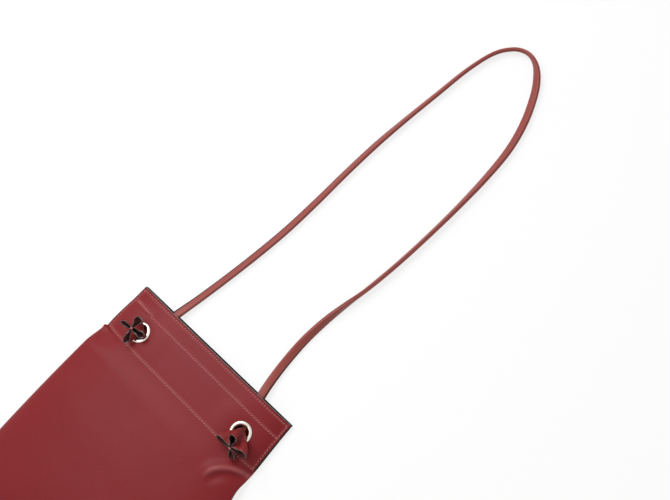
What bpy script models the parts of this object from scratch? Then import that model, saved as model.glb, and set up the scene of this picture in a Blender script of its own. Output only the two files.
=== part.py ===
# Flat leather shoulder bag with one long strap, lying on its back with the strap laid out.
# Metres, +Z up. X runs across the bag, Y from its foot to its mouth, Z out of its front.
# The origin is on the surface the bag lies on, under the middle of the bag.
import math

import bmesh
import bpy
from mathutils import Quaternion, Vector

MM = 0.001

# Fits
GAP = 0.3 * MM  # clearance between neighbouring pieces

# Leather and cloth
PANEL = 1.3 * MM  # outer panels
FACING = 1.0 * MM  # reinforcement inside the top band
LINING = 0.5 * MM

# Bag
BAG_HEIGHT = 280 * MM
BAND_WIDTH = 234 * MM
BAND_HEIGHT = 60 * MM
SIDE_EASE = 6 * MM  # how far the body stands out beyond the band on each side
SIDE_SWELL = 2 * MM  # further width half-way down the body
LEFT_STEP = 4 * MM  # height over which the body widens at the left side
RIGHT_TUCK = 18 * MM  # height over which the right side stays as narrow as the band
RIGHT_STEP = 42 * MM  # and over which it then widens
MOUTH_RISE = 7 * MM  # how far the front bows off the back at the mouth
BAND_RISE = 12 * MM  # and at the foot of the band
BOW_POWER = 6  # how flat the bow stays before it drops to the sides
SIDE_SEAM_INSET = 4 * MM  # flat stitched margin at each side of the band
BLEND = 30 * MM  # height over which the flat band turns into the full body
SEAM_HEIGHT = 9 * MM  # side seams of the body above the surface
FULLNESS = 17 * MM  # crown of the front above the side seams
FULLNESS_DROP = 4 * MM  # less crown just under the band
CROWN_LEVEL = 20 * MM  # the crown is level below this, and as far again under the band
DOME_POWER = 2.6
DOME_ROUND = 0.42
FOOT_POWER = 5  # how late the body closes towards its foot
FLAT_BACK = 1.3  # spread of the flat of the back panel
LINING_CLEARANCE = 0.7 * MM  # between the lining's top edge and the eyelets' washers
LINING_SIDE = 10 * MM  # lining stops this far inside the band's sides
BACK_RISE = 1.2 * MM  # how far the back stands above the front at the mouth

# Soft swelling below the right end of the band
FOLD_X = 117 * MM
FOLD_Y = 37 * MM
FOLD_RADIUS = 36 * MM
FOLD_HEIGHT = 2.6 * MM
FOLD_WIDTH = 6 * MM

# Eyelets
EYELET_X = 81 * MM
EYELET_DROP = 40 * MM  # below the mouth
EYELET_RADIUS = 12 * MM
HOLE_RADIUS = 7.6 * MM
BARREL_WALL = 0.7 * MM
DOME_HEIGHT = 2.0 * MM
WASHER_THICKNESS = 0.8 * MM
WASHER_RADIUS = 11.3 * MM
ROLL_THICKNESS = 0.5 * MM
ROLL_REACH = 1.7 * MM
SEAT_FLAT = 18 * MM  # the leather is flat this far round an eyelet's centre
SEAT_BLEND = 30 * MM
ROUND_STEPS = 28
COLUMNS = 30  # steps across the front

# Strap
STRAP_WIDTH = 10.0 * MM
STRAP_THICKNESS = 4.6 * MM
# The strap's centreline from the left knot to the right one, as x, y, z in mm, and the
# degrees that its upper face turns down towards the outside of the loop.
STRAP_ROUTE = (
    (-81.7, 100.0, 13.9, 0),
    (-81.2, 100.6, 9.8, 0),
    (-79.3, 105.2, 6.3, 0),
    (-76.0, 114.0, 5.6, 0),
    (-71.5, 126.5, 5.8, 2),
    (-67.4, 141.0, 5.7, 8),
    (-64.6, 155.0, 4.6, 17),
    (-61.0, 172.5, 3.7, 23),
    (-54.0, 208.0, 3.5, 27),
    (-46.8, 249.0, 3.5, 28),
    (-40.6, 293.0, 3.6, 29),
    (-36.8, 340.0, 3.9, 34),
    (-34.1, 392.0, 4.1, 40),
    (-30.3, 441.0, 4.2, 43),
    (-24.5, 486.0, 4.4, 51),
    (-17.0, 535.0, 4.5, 55),
    (-9.5, 582.0, 4.6, 59),
    (1.0, 617.0, 4.6, 60),
    (15.7, 635.5, 4.6, 58),
    (31.0, 641.0, 4.7, 64),
    (45.0, 636.5, 5.0, 86),
    (58.0, 624.5, 4.6, 121),
    (71.0, 603.5, 4.0, 139),
    (84.5, 568.0, 3.9, 143),
    (92.3, 530.0, 4.0, 141),
    (94.2, 488.0, 4.3, 132),
    (92.8, 440.0, 4.7, 119),
    (89.3, 392.0, 4.8, 113),
    (84.3, 345.0, 4.8, 112),
    (77.8, 303.0, 4.9, 109),
    (71.3, 273.0, 5.0, 86),
    (66.2, 246.0, 4.6, 61),
    (63.2, 217.0, 4.1, 42),
    (63.1, 190.0, 3.7, 27),
    (65.1, 164.0, 4.2, 11),
    (68.6, 143.0, 5.7, 4),
    (73.6, 123.0, 5.7, 1),
    (78.6, 106.8, 6.1, 0),
    (80.8, 101.0, 9.0, 0),
    (81.6, 98.9, 14.2, 0),
)
STRAP_SUBSTEPS = 2  # lengths of strap between two of these points

# Knots, each a leather cone that the centre stitch pinches into four loops
KNOT_BASE = 5.0 * MM
KNOT_REACH = 16.5 * MM  # centre to the tip of a loop
KNOT_WAIST = 1.9 * MM
KNOT_LOOP = 2.7 * MM  # half the width of a loop
KNOT_WALL = 1.3 * MM
KNOT_HOLLOW = 0.4  # share of the cone's length below the hollow
KNOT_LEGS = 9  # length steps
KNOT_POINTS = 9  # points round each loop
STITCH_RADIUS = 1.2 * MM
STITCH_LENGTH = 1.9 * MM
# Base, pull and star centre in mm, the star's facing, and the turn of its loops
KNOTS = {
    "left": ((-81.7, 100.0, 14.2), (-82.6, 99.7, 20.5), (-86.8, 98.4, 26.0), (0.10, 0.04, 1.0), 9),
    "right": ((81.7, 98.8, 14.5), (82.7, 95.8, 23.5), (86.8, 83.8, 28.0), (0.05, -0.65, 0.76), 12),
}

TOP = BAG_HEIGHT / 2
BAND_FOOT = TOP - BAND_HEIGHT
BAND_HALF = BAND_WIDTH / 2
EYELET_Y = TOP - EYELET_DROP
SIDE_STACK = 2 * (PANEL + FACING) + 3 * GAP  # band thickness at its stitched sides
FACING_DEPTH = PANEL + GAP
LINING_DEPTH = FACING_DEPTH + FACING + GAP
WASHER_DEPTH = FACING_DEPTH + FACING + GAP
ROLL_DEPTH = WASHER_DEPTH + WASHER_THICKNESS + GAP
LINING_TOP = EYELET_Y - WASHER_RADIUS - LINING_CLEARANCE


def smooth(value, low, high):
    t = min(1.0, max(0.0, (value - low) / (high - low)))
    return t * t * (3 - 2 * t)


def material(name, colour, roughness, metallic=0.0):
    found = bpy.data.materials.get(name) or bpy.data.materials.new(name)
    found.use_nodes = True
    shader = found.node_tree.nodes["Principled BSDF"]
    shader.inputs["Base Color"].default_value = (*colour, 1)
    shader.inputs["Roughness"].default_value = roughness
    shader.inputs["Metallic"].default_value = metallic
    return found


def collection(name):
    found = bpy.data.collections.get(name) or bpy.data.collections.new(name)
    if name not in bpy.context.scene.collection.children:
        bpy.context.scene.collection.children.link(found)
    return found


def add_object(name, data, group, finish=None):
    made = bpy.data.objects.new(name, data)
    if finish:
        data.materials.append(finish)
    group.objects.link(made)
    return made


def mesh_from(bm, name, smooth_angle=40):
    if bm.calc_volume(signed=True) < 0:
        bmesh.ops.reverse_faces(bm, faces=bm.faces)
    mesh = bpy.data.meshes.new(name)
    bm.to_mesh(mesh)
    bm.free()
    mesh.shade_smooth()
    mesh.set_sharp_from_angle(angle=math.radians(smooth_angle))
    return mesh


def body_share(y):
    # 0 in the flat band, 1 in the full body
    return 1 - smooth(y, BAND_FOOT - BLEND, BAND_FOOT)


def half_width(side, y):
    tuck, step = (0, LEFT_STEP) if side < 0 else (RIGHT_TUCK, RIGHT_STEP)
    middle = (BAND_FOOT - TOP) / 2
    swell = max(0.0, 1 - ((y - middle) / (BAND_FOOT - middle)) ** 2)
    start = BAND_FOOT - tuck
    return BAND_HALF + (SIDE_EASE + SIDE_SWELL * swell) * (1 - smooth(y, start - step, start))


def bow(x):
    # 1 in the middle of the band, 0 at its stitched sides
    return max(0.0, 1 - abs(x / (BAND_HALF - SIDE_SEAM_INSET)) ** BOW_POWER)


def band_rise(y):
    return MOUTH_RISE + (BAND_RISE - MOUTH_RISE) * min(1.0, (TOP - y) / BAND_HEIGHT)


def bowed_height(x, y):
    closing = smooth(y, BAND_FOOT - LEFT_STEP, BAND_FOOT)
    slack = (2 * FACING + 2 * GAP) * (1 - closing) * (1 - bow(x))
    return SIDE_STACK - slack + band_rise(y) * bow(x)


def eyelet_slope(x, y):
    step = 0.1 * MM
    across = (bowed_height(x + step, y) - bowed_height(x - step, y)) / (2 * step)
    along = (bowed_height(x, y + step) - bowed_height(x, y - step)) / (2 * step)
    return across, along


def band_height(x, y):
    # Outer face of the front in the band, pressed flat round each eyelet
    height = bowed_height(x, y)
    centre = math.copysign(EYELET_X, x)
    away = math.hypot(x - centre, y - EYELET_Y)
    if away > SEAT_BLEND:
        return height
    across, along = eyelet_slope(centre, EYELET_Y)
    seat = bowed_height(centre, EYELET_Y) + across * (x - centre) + along * (y - EYELET_Y)
    share = 1 - smooth(away, SEAT_FLAT, SEAT_BLEND)
    return height + share * (seat - height)


def dome(share):
    return max(0.0, 1 - abs(share) ** DOME_POWER) ** DOME_ROUND


def foot_close(y):
    # 1 over most of the body, 0 at the foot, where it ends square
    return math.sqrt(max(0.0, 1 - max(0.0, -y / TOP) ** FOOT_POWER))


def crown(y):
    return FULLNESS - FULLNESS_DROP * smooth(y, -CROWN_LEVEL, BAND_FOOT - CROWN_LEVEL)


def fold(x, y):
    # A ridge round the swelling at the right, fading out towards the middle
    away = math.hypot(x - FOLD_X, y - FOLD_Y)
    angle = math.atan2(y - FOLD_Y, x - FOLD_X)
    reach = smooth(angle, math.radians(70), math.radians(95)) * (
        1 - smooth(angle, math.radians(130), math.radians(178))
    )
    ridge = math.exp(-(((away - FOLD_RADIUS) / FOLD_WIDTH) ** 2))
    valley = math.exp(-(((away - FOLD_RADIUS - 1.7 * FOLD_WIDTH) / FOLD_WIDTH) ** 2))
    return FOLD_HEIGHT * reach * (ridge - 0.5 * valley)


def inward_y(y, depth):
    return y + depth * (1 - smooth(y, -TOP, -TOP + BAND_HEIGHT))


def front_point(across, y, depth, half=None):
    # across is -1 at the left side and 1 at the right one
    share = body_share(y)
    side = (half or half_width)(across, y)
    bent = math.sin(across * math.pi / 2)
    x = bent * (side - share * depth)
    flat = band_height(x, y) - depth
    full = SEAM_HEIGHT + GAP / 2 + (crown(y) - depth) * dome(bent) * foot_close(y)
    edge = min(1.0, 4 * (1 - abs(bent)))
    z = flat + share * (full - flat) + fold(x, y) * edge * share
    return Vector((x, inward_y(y, depth), z))


def back_point(across, y, depth, half=None):
    share = body_share(y)
    side = (half or half_width)(across, y)
    bent = math.sin(across * math.pi / 2)
    low = SEAM_HEIGHT - GAP / 2
    full = low - (low - depth) * min(1.0, FLAT_BACK * dome(bent) * foot_close(y))
    x = bent * (side - share * depth)
    up = inward_y(y, depth) + BACK_RISE * smooth(y, BAND_FOOT, TOP)
    return Vector((x, up, depth + share * (full - depth)))


def lining_half(across, y):
    narrow = BAND_HALF - LINING_SIDE
    share = 1 - smooth(y, BAND_FOOT - 1.2 * BLEND, BAND_FOOT - 0.6 * BLEND)
    return narrow + share * (half_width(across, y) - narrow)


def rows_between(*stretches):
    # Each stretch is its end and its number of steps, after the start
    rows = [stretches[0]]
    for end, steps in stretches[1:]:
        start = rows[-1]
        rows += [start + (end - start) * (i + 1) / steps for i in range(steps)]
    return rows


def sheet(name, columns, rows, place, near, far, finish, group, half=None):
    # A grid drawn out to a wall, its two skins at the depths near and far
    bm = bmesh.new()
    bmesh.ops.create_grid(bm, x_segments=columns, y_segments=len(rows) - 1, size=1)
    outer = list(bm.verts)
    drawn = bmesh.ops.extrude_face_region(bm, geom=bm.faces[:], use_keep_orig=True)["geom"]
    inner = [g for g in drawn if isinstance(g, bmesh.types.BMVert)]
    for verts, depth in ((outer, near), (inner, far)):
        for vert in verts:
            row = round((1 - vert.co.y) / 2 * (len(rows) - 1))
            vert.co = place(vert.co.x, rows[row], depth, half)
    return add_object(name, mesh_from(bm, name), group, finish)


def turned(name, profile, finish, group):
    # A closed profile of radii and heights, turned about Z
    mesh = bpy.data.meshes.new(name)
    count = len(profile)
    mesh.from_pydata([(r, 0, z) for r, z in profile], [(i, (i + 1) % count) for i in range(count)], [])
    made = add_object(name, mesh, group, finish)
    screw = made.modifiers.new("turn", "SCREW")
    screw.steps = screw.render_steps = ROUND_STEPS
    screw.use_merge_vertices = True
    screw.merge_threshold = 0.00001
    return made


def seat_on_band(piece, side):
    # Stands a turned piece on the front of the band at an eyelet, square to the leather
    x = side * EYELET_X
    across, along = eyelet_slope(x, EYELET_Y)
    piece.location = (x, EYELET_Y, bowed_height(x, EYELET_Y))
    piece.rotation_mode = "QUATERNION"
    piece.rotation_quaternion = Vector((0, 0, 1)).rotation_difference(Vector((-across, -along, 1)))


def eyelet(name, side, finish, group):
    middle = (EYELET_RADIUS + HOLE_RADIUS) / 2
    half = (EYELET_RADIUS - HOLE_RADIUS) / 2
    barrel = HOLE_RADIUS + BARREL_WALL
    arc = [math.pi * i / 8 for i in range(9)]
    profile = [(middle - half * math.cos(a), GAP + DOME_HEIGHT * math.sin(a)) for a in arc]
    profile += [
        (barrel, GAP),
        (barrel, -ROLL_DEPTH),
        (barrel + ROLL_REACH, -ROLL_DEPTH),
        (barrel + ROLL_REACH, -ROLL_DEPTH - ROLL_THICKNESS / 2),
        (barrel, -ROLL_DEPTH - ROLL_THICKNESS),
        (HOLE_RADIUS, -ROLL_DEPTH),
    ]
    seat_on_band(turned(name, profile, finish, group), side)


def washer(name, side, finish, group):
    inside = HOLE_RADIUS + BARREL_WALL + GAP
    top, foot = -WASHER_DEPTH, -WASHER_DEPTH - WASHER_THICKNESS
    edge = WASHER_THICKNESS / 4
    profile = [
        (inside, top),
        (WASHER_RADIUS - edge, top),
        (WASHER_RADIUS, top - edge),
        (WASHER_RADIUS, foot + edge),
        (WASHER_RADIUS - edge, foot),
        (inside, foot),
    ]
    seat_on_band(turned(name, profile, finish, group), side)


def hole_cutter(name, side, group):
    # Clears the eyelet's barrel through the panel and the facing
    bm = bmesh.new()
    radius = HOLE_RADIUS + BARREL_WALL + GAP
    depth = 4 * LINING_DEPTH
    bmesh.ops.create_cone(
        bm, cap_ends=True, segments=ROUND_STEPS, radius1=radius, radius2=radius, depth=depth
    )
    cutter = add_object(name, mesh_from(bm, name), group)
    cutter.hide_render = True
    cutter.display_type = "WIRE"
    seat_on_band(cutter, side)
    return cutter


def cut(piece, cutter):
    boolean = piece.modifiers.new("hole", "BOOLEAN")
    boolean.operation = "DIFFERENCE"
    boolean.solver = "EXACT"
    boolean.object = cutter


def through(before, start, end, after, t):
    # A smooth curve through the route's own points
    return 0.5 * (
        2 * start
        + (end - before) * t
        + (2 * before - 5 * start + 4 * end - after) * t * t
        + (3 * start - before - 3 * end + after) * t * t * t
    )


def strap_line():
    route = [Vector(point) for point in STRAP_ROUTE]
    ends = [2 * route[0] - route[1]] + route + [2 * route[-1] - route[-2]]
    line = []
    for i in range(1, len(ends) - 2):
        for step in range(STRAP_SUBSTEPS):
            line.append(through(*ends[i - 1 : i + 3], step / STRAP_SUBSTEPS))
    return line + [route[-1]]


def strap(name, finish, group):
    line = strap_line()
    curve = bpy.data.curves.new(name, "CURVE")
    curve.dimensions = "3D"
    curve.twist_mode = "Z_UP"
    curve.extrude = (STRAP_WIDTH - STRAP_THICKNESS) / 2
    curve.bevel_depth = STRAP_THICKNESS / 2
    curve.bevel_resolution = 2
    curve.use_fill_caps = True
    spline = curve.splines.new("POLY")
    spline.points.add(len(line) - 1)
    for point, place in zip(spline.points, line):
        point.co = (*(place.xyz * MM), 1)
        point.tilt = math.radians(90 - place.w)
    add_object(name, curve, group, finish)


def loop_section(share, skin):
    # Points round the knot: a circle at share 0, four pinched loops at share 1
    base = KNOT_BASE - skin
    waist = (KNOT_WAIST - skin) / math.sqrt(2)
    reach = KNOT_REACH - skin
    points = []
    for turn in range(4):
        for step in range(KNOT_POINTS):
            s = 2 * step / KNOT_POINTS - 1
            ring = (base * math.cos(s * math.pi / 4), base * math.sin(s * math.pi / 4))
            along = waist + (reach - waist) * math.cos(s * math.pi / 2) ** 1.3
            across = (KNOT_LOOP - skin) * math.sin(s * math.pi) + waist * s
            flat = Vector(ring).lerp(Vector((along, across)), share)
            angle = turn * math.pi / 2
            points.append(
                Vector(
                    (
                        flat.x * math.cos(angle) - flat.y * math.sin(angle),
                        flat.x * math.sin(angle) + flat.y * math.cos(angle),
                    )
                )
            )
    return points


def knot_frame(side, t):
    # Centre of the cone at t, and the two directions across it
    base, pull, star, facing, turn = KNOTS[side]
    base, pull, star = (Vector(p) * MM for p in (base, pull, star))
    centre = base * (1 - t) ** 2 + pull * 2 * t * (1 - t) + star * t * t
    start = (pull - base).normalized()
    end = Vector(facing).normalized()
    ahead = start.lerp(end, smooth(t, 0.2, 1)).normalized()
    right = (Vector((1, 0, 0)) - ahead * ahead.x).normalized()
    right = Quaternion(ahead, math.radians(turn)) @ right
    return centre, right, ahead.cross(right), ahead


def knot_ring(bm, side, t, skin):
    centre, right, up, _ = knot_frame(side, t)
    section = loop_section(smooth(t, 0.15, 1.05), skin)
    return [bm.verts.new(centre + right * p.x + up * p.y) for p in section]


def knot(name, side, finish, group):
    bm = bmesh.new()
    steps = [i / KNOT_LEGS for i in range(KNOT_LEGS + 1)]
    rings = [knot_ring(bm, side, t, 0) for t in steps]
    rings += [knot_ring(bm, side, t, KNOT_WALL) for t in reversed(steps) if t >= KNOT_HOLLOW]
    count = len(rings[0])
    for low, high in zip(rings, rings[1:]):
        for i in range(count):
            j = (i + 1) % count
            bm.faces.new((low[i], low[j], high[j], high[i]))
    bm.faces.new(reversed(rings[0]))
    bm.faces.new(rings[-1])
    add_object(name, mesh_from(bm, name), group, finish)


def knot_stitch(name, side, finish, group):
    # A short bar of thread that holds the pinched rim together
    centre, right, _, ahead = knot_frame(side, 1)
    bm = bmesh.new()
    bmesh.ops.create_uvsphere(bm, u_segments=12, v_segments=8, radius=STITCH_RADIUS)
    bmesh.ops.scale(bm, vec=(STITCH_LENGTH / STITCH_RADIUS, 1, 1), verts=bm.verts)
    made = add_object(name, mesh_from(bm, name), group, finish)
    made.location = centre + ahead * (STITCH_RADIUS + GAP)
    made.rotation_mode = "QUATERNION"
    made.rotation_quaternion = Vector((1, 0, 0)).rotation_difference(right)


def clear_scene():
    for old in list(bpy.data.objects):
        bpy.data.objects.remove(old)


def build():
    clear_scene()
    parts = collection("shoulder_bag")
    cutters = collection("cutters")
    leather = material("red_leather", (0.27, 0.035, 0.04), 0.45)
    lining = material("lining_cloth", (0.16, 0.03, 0.035), 0.9)
    nickel = material("nickel", (0.75, 0.73, 0.70), 0.15, 1.0)
    thread = material("thread", (0.45, 0.12, 0.13), 0.7)

    band_rows = rows_between(TOP, (BAND_FOOT, 7))
    body_rows = band_rows + rows_between(
        BAND_FOOT,
        (BAND_FOOT - LEFT_STEP, 1),
        (BAND_FOOT - BLEND, 5),
        (-0.6 * TOP, 7),
        (-0.9 * TOP, 4),
        (-TOP, 2),
    )[1:]
    back_rows = rows_between(
        TOP,
        (BAND_FOOT, 2),
        (BAND_FOOT - LEFT_STEP, 1),
        (BAND_FOOT - BLEND, 3),
        (-0.6 * TOP, 4),
        (-0.9 * TOP, 3),
        (-TOP, 2),
    )
    facing_rows = [TOP - GAP, *band_rows[1:-1], BAND_FOOT + GAP]
    lining_rows = rows_between(
        LINING_TOP, (BAND_FOOT - 1.2 * BLEND, 4), (-0.6 * TOP, 4), (-TOP, 4)
    )
    holes = [hole_cutter("left_hole", -1, cutters), hole_cutter("right_hole", 1, cutters)]

    front = sheet("front_panel", COLUMNS, body_rows, front_point, 0, PANEL, leather, parts)
    sheet("back_panel", 20, back_rows, back_point, 0, PANEL, leather, parts)
    inner, outer = FACING_DEPTH, FACING_DEPTH + FACING
    front_facing = sheet(
        "front_facing", COLUMNS, facing_rows, front_point, inner, outer, leather, parts
    )
    sheet("back_facing", 8, facing_rows[::3], back_point, inner, outer, leather, parts)
    inner, outer = LINING_DEPTH, LINING_DEPTH + LINING
    for name, place in (("front_lining", front_point), ("back_lining", back_point)):
        sheet(name, 12, lining_rows, place, inner, outer, lining, parts, lining_half)
    for piece in (front, front_facing):
        for hole in holes:
            cut(piece, hole)

    for side, sign in (("left", -1), ("right", 1)):
        eyelet(f"{side}_eyelet", sign, nickel, parts)
        washer(f"{side}_eyelet_washer", sign, nickel, parts)
        knot(f"{side}_knot", side, leather, parts)
        knot_stitch(f"{side}_knot_stitch", side, thread, parts)
    strap("strap", leather, parts)


build()
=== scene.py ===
import math

import bmesh
import bpy
from mathutils import Matrix, Quaternion, Vector, noise


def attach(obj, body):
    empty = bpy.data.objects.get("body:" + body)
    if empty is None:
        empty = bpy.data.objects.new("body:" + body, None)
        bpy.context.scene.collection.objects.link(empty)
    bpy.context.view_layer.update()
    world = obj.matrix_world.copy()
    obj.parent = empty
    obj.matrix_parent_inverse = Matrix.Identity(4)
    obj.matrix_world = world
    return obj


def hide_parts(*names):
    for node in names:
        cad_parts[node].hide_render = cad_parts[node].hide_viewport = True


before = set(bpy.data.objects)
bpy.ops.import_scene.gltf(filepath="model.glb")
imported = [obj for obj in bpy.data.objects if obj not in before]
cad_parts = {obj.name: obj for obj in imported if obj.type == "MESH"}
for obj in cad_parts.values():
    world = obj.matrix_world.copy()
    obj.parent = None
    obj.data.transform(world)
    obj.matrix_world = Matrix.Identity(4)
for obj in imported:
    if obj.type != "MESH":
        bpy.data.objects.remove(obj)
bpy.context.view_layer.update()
mm = 0.001
print("frame loaded with", len(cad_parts), "nodes")


# the camera, where the photograph was taken from
shot = {
    "place": (0.2652, 0.2033, 0.7437),
    "right": (0.7315, 0.6662, -0.1445),
    "up": (-0.6059, 0.7326, 0.3100),
    "lens": 37.61,  # mm on a 36 mm sensor
}


def setCamera():
    data = bpy.data.cameras.new("camera")
    data.lens = shot["lens"]
    data.sensor_width = 36
    data.clip_start = 0.01
    camera = bpy.data.objects.new("camera", data)
    bpy.context.scene.collection.objects.link(camera)
    right = Vector(shot["right"]).normalized()
    back = right.cross(Vector(shot["up"])).normalized()
    turn = Matrix((right, back.cross(right), back)).transposed().to_4x4()
    camera.matrix_world = Matrix.Translation(shot["place"]) @ turn
    bpy.context.scene.camera = camera


setCamera()
bpy.context.scene.view_settings.view_transform = "Standard"
print("camera set")


# the finishes
class Wire:
    # a shader socket that adds, subtracts and multiplies like a number
    def __init__(self, finish, socket):
        self.finish = finish
        self.socket = socket

    def maths(self, operation, *others):
        return self.finish.node("ShaderNodeMath", {"operation": operation}, (self, *others))

    def __add__(self, other):
        return self.maths("ADD", other)

    def __mul__(self, other):
        return self.maths("MULTIPLY", other)

    def __sub__(self, other):
        return self.maths("SUBTRACT", other)

    def __rsub__(self, other):
        return self * -1 + other

    __radd__ = __add__
    __rmul__ = __mul__


class Nodes:
    def __init__(self, tree):
        self.tree = tree

    def node(self, kind, settings=None, inputs=(), output=0):
        made = self.tree.nodes.new(kind)
        for name, value in (settings or {}).items():
            setattr(made, name, value)
        pairs = inputs.items() if isinstance(inputs, dict) else enumerate(inputs)
        for socket, value in pairs:
            if isinstance(value, Wire):
                self.tree.links.new(value.socket, made.inputs[socket])
            else:
                made.inputs[socket].default_value = value
        return Wire(self, made.outputs[output])


class Finish(Nodes):
    def __init__(self, name, **constants):
        self.material = bpy.data.materials.new(name)
        self.material.use_nodes = True
        super().__init__(self.material.node_tree)
        self.shader = self.tree.nodes["Principled BSDF"]
        for socket, value in constants.items():
            self.shader.inputs[socket.replace("_", " ")].default_value = value

    def feed(self, socket, wire):
        self.tree.links.new(wire.socket, self.shader.inputs[socket])

    def place(self):
        return self.node("ShaderNodeTexCoord", output="Object")

    def noise(self, scale, detail=2.0, rough=0.5):
        inputs = {"Vector": self.place(), "Scale": scale, "Detail": detail, "Roughness": rough}
        return self.node("ShaderNodeTexNoise", None, inputs, "Fac")

    def cells(self, scale, feature="F1"):
        inputs = {"Vector": self.place(), "Scale": scale}
        return self.node("ShaderNodeTexVoronoi", {"feature": feature}, inputs, "Distance")

    def blend(self, amount, low, high):
        # from one colour to another; a link takes the place of either
        ends = [tone if isinstance(tone, Wire) else (*tone, 1) for tone in (low, high)]
        return self.node("ShaderNodeMix", {"data_type": "RGBA"}, {0: amount, 6: ends[0], 7: ends[1]}, 2)

    def bump(self, height, strength, distance):
        inputs = {"Height": height, "Strength": strength, "Distance": distance}
        self.feed("Normal", self.node("ShaderNodeBump", None, inputs, "Normal"))


leather = {
    "panel": ((0.196, 0.013, 0.016), 0.44),  # colour and roughness
    "facing": ((0.16, 0.012, 0.015), 0.5),
    "strap": ((0.27, 0.054, 0.043), 0.42),
    "knot": ((0.200, 0.016, 0.017), 0.44),
    "rubbedAndHighlight": (0.42, 0.125, 0.125),  # paler over ridges, the fold and beside the seams: partly rubbed wear, partly a painted highlight
    "rubbedGloss": 0.08,
    "shine": 0.16,
    "strapShine": 0.3,
    "darkest": 0.86,  # of the colour, in the dark clouds
    "lightest": 1.12,
    "tones": (0.6, 0.4),  # shares of the clouds and the mottle in the colour
    "gloss": (0.05, 0.1),  # how far the roughness drops, and what the mottle adds
    "clouds": 18,  # scales of the patterns
    "mottle": 160,
    "creases": 95,
    "pebbles": 820,
    "pores": 2600,
    "surface": (0.55, 0.3, 0.35),  # shares of the pebbles, pores and creases in the relief
    "relief": 0.0004,
    "grain": 0.25,  # how strong the relief is
}


def leatherFinish(name, colour, roughness, shine=leather["shine"], rubbedAndHighlight=None):
    finish = Finish(name, Specular_IOR_Level=shine)
    cloud = finish.noise(leather["clouds"], 3)
    mottle = finish.noise(leather["mottle"], 3, 0.6)
    dark = [c * leather["darkest"] for c in colour]
    light = [c * leather["lightest"] for c in colour]
    cloudy, mottled = leather["tones"]
    tone = finish.blend(cloud * cloudy + mottle * mottled, dark, light)
    drop, gain = leather["gloss"]
    gloss = roughness - drop + mottle * gain
    # the crest attribute blends in a paler colour: partly rubbed wear, partly a painted highlight
    if rubbedAndHighlight:
        crest = finish.node("ShaderNodeAttribute", {"attribute_name": "crest"}, output="Fac")
        tone = finish.blend(crest, tone, rubbedAndHighlight)
        gloss = gloss - crest * leather["rubbedGloss"]
    finish.feed("Base Color", tone)
    finish.feed("Roughness", gloss)
    pebble = finish.cells(leather["pebbles"])
    pore = finish.noise(leather["pores"], 2)
    crease = finish.noise(leather["creases"], 2)
    pebbly, porous, creased = leather["surface"]
    height = pebble * pebbly + pore * porous + crease * creased
    finish.bump(height, leather["grain"], leather["relief"])
    return finish.material


panelLeather = leatherFinish("panelLeather", *leather["panel"], rubbedAndHighlight=leather["rubbedAndHighlight"])
facingLeather = leatherFinish("facingLeather", *leather["facing"])
strapLeather = leatherFinish("strapLeather", *leather["strap"], shine=leather["strapShine"])
knotLeather = leatherFinish("knotLeather", *leather["knot"])

fineRelief = 0.0002  # in m, of the paint, the nickel, the thread and the cloth

# two colours in patches, then the roughness, the shine and the patches' scale
patchy = {
    # near-black edge paint, darkened further as painted shade where it lines the back of the mouth
    "edgePaint": ((0.004, 0.003, 0.003), (0.010, 0.007, 0.007), 0.45, 0.06, 420),
    "rimPaint": ((0.022, 0.014, 0.013), (0.060, 0.040, 0.036), 0.22, 0.5, 420),
    # the front's mouth edge: dark paint whose pale patches are a painted highlight
    "beadPaintAndHighlight": ((0.020, 0.014, 0.013), (0.320, 0.250, 0.230), 0.3, 0.5, 190),
    "strapPaint": ((0.050, 0.017, 0.015), (0.120, 0.038, 0.033), 0.5, 0.1, 420),
    # the knots' loop rims: dark paint whose pale patches are a painted highlight along the outline
    "loopPaintAndHighlight": ((0.010, 0.005, 0.005), (0.150, 0.085, 0.078), 0.35, 0.4, 190),
    # the inside of the knots' loops: dark leather, patched down to black as painted shade
    "hollowLeatherAndShade": ((0.0, 0.0, 0.0), (0.085, 0.022, 0.019), 0.7, 0.1, 130),
}


def patchyFinish(name):
    # edge paint in dark and light patches, where the bead and loop paints' pale patches are a painted
    # highlight, or the leather inside a loop, darkened with painted shade
    darkPatch, lightPatch, roughness, shine, scale = patchy[name]
    finish = Finish(name, Specular_IOR_Level=shine)
    patch = finish.noise(scale, 3)
    finish.feed("Base Color", finish.blend(patch, darkPatch, lightPatch))
    finish.feed("Roughness", roughness + patch * 0.16)
    finish.bump(finish.noise(1500, 2), 0.2, fineRelief)
    return finish.material


nickelColour = (0.72, 0.68, 0.61, 1)


def nickelFinish():
    finish = Finish("nickelPlate", Base_Color=nickelColour, Metallic=1.0)
    haze = finish.noise(300, 4)
    finish.feed("Roughness", 0.1 + haze * 0.14)
    finish.bump(haze, 0.02, fineRelief)
    return finish.material


threadColours = ((0.33, 0.10, 0.10), (0.50, 0.21, 0.20))


def threadFinish():
    finish = Finish("sewingThread", Specular_IOR_Level=0.3)
    fuzz = finish.noise(3500, 2)
    finish.feed("Base Color", finish.blend(fuzz, *threadColours))
    finish.feed("Roughness", 0.55 + fuzz * 0.2)
    finish.bump(fuzz, 0.5, fineRelief)
    return finish.material


cloth = {"colours": ((0.055, 0.012, 0.014), (0.12, 0.03, 0.034)), "weave": 480.0}


def clothFinish():
    finish = Finish("liningCloth", Specular_IOR_Level=0.2)
    inputs = {"Vector": finish.place(), "Scale": cloth["weave"]}
    warp, weft = (
        finish.node("ShaderNodeTexWave", {"wave_type": "BANDS", "bands_direction": way}, inputs, "Fac")
        for way in ("X", "Y")
    )
    weave = warp * 0.5 + weft * 0.5
    finish.feed("Base Color", finish.blend(weave, *cloth["colours"]))
    finish.feed("Roughness", 0.8 + weave * 0.1)
    finish.bump(weave, 0.6, fineRelief)
    return finish.material


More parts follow.
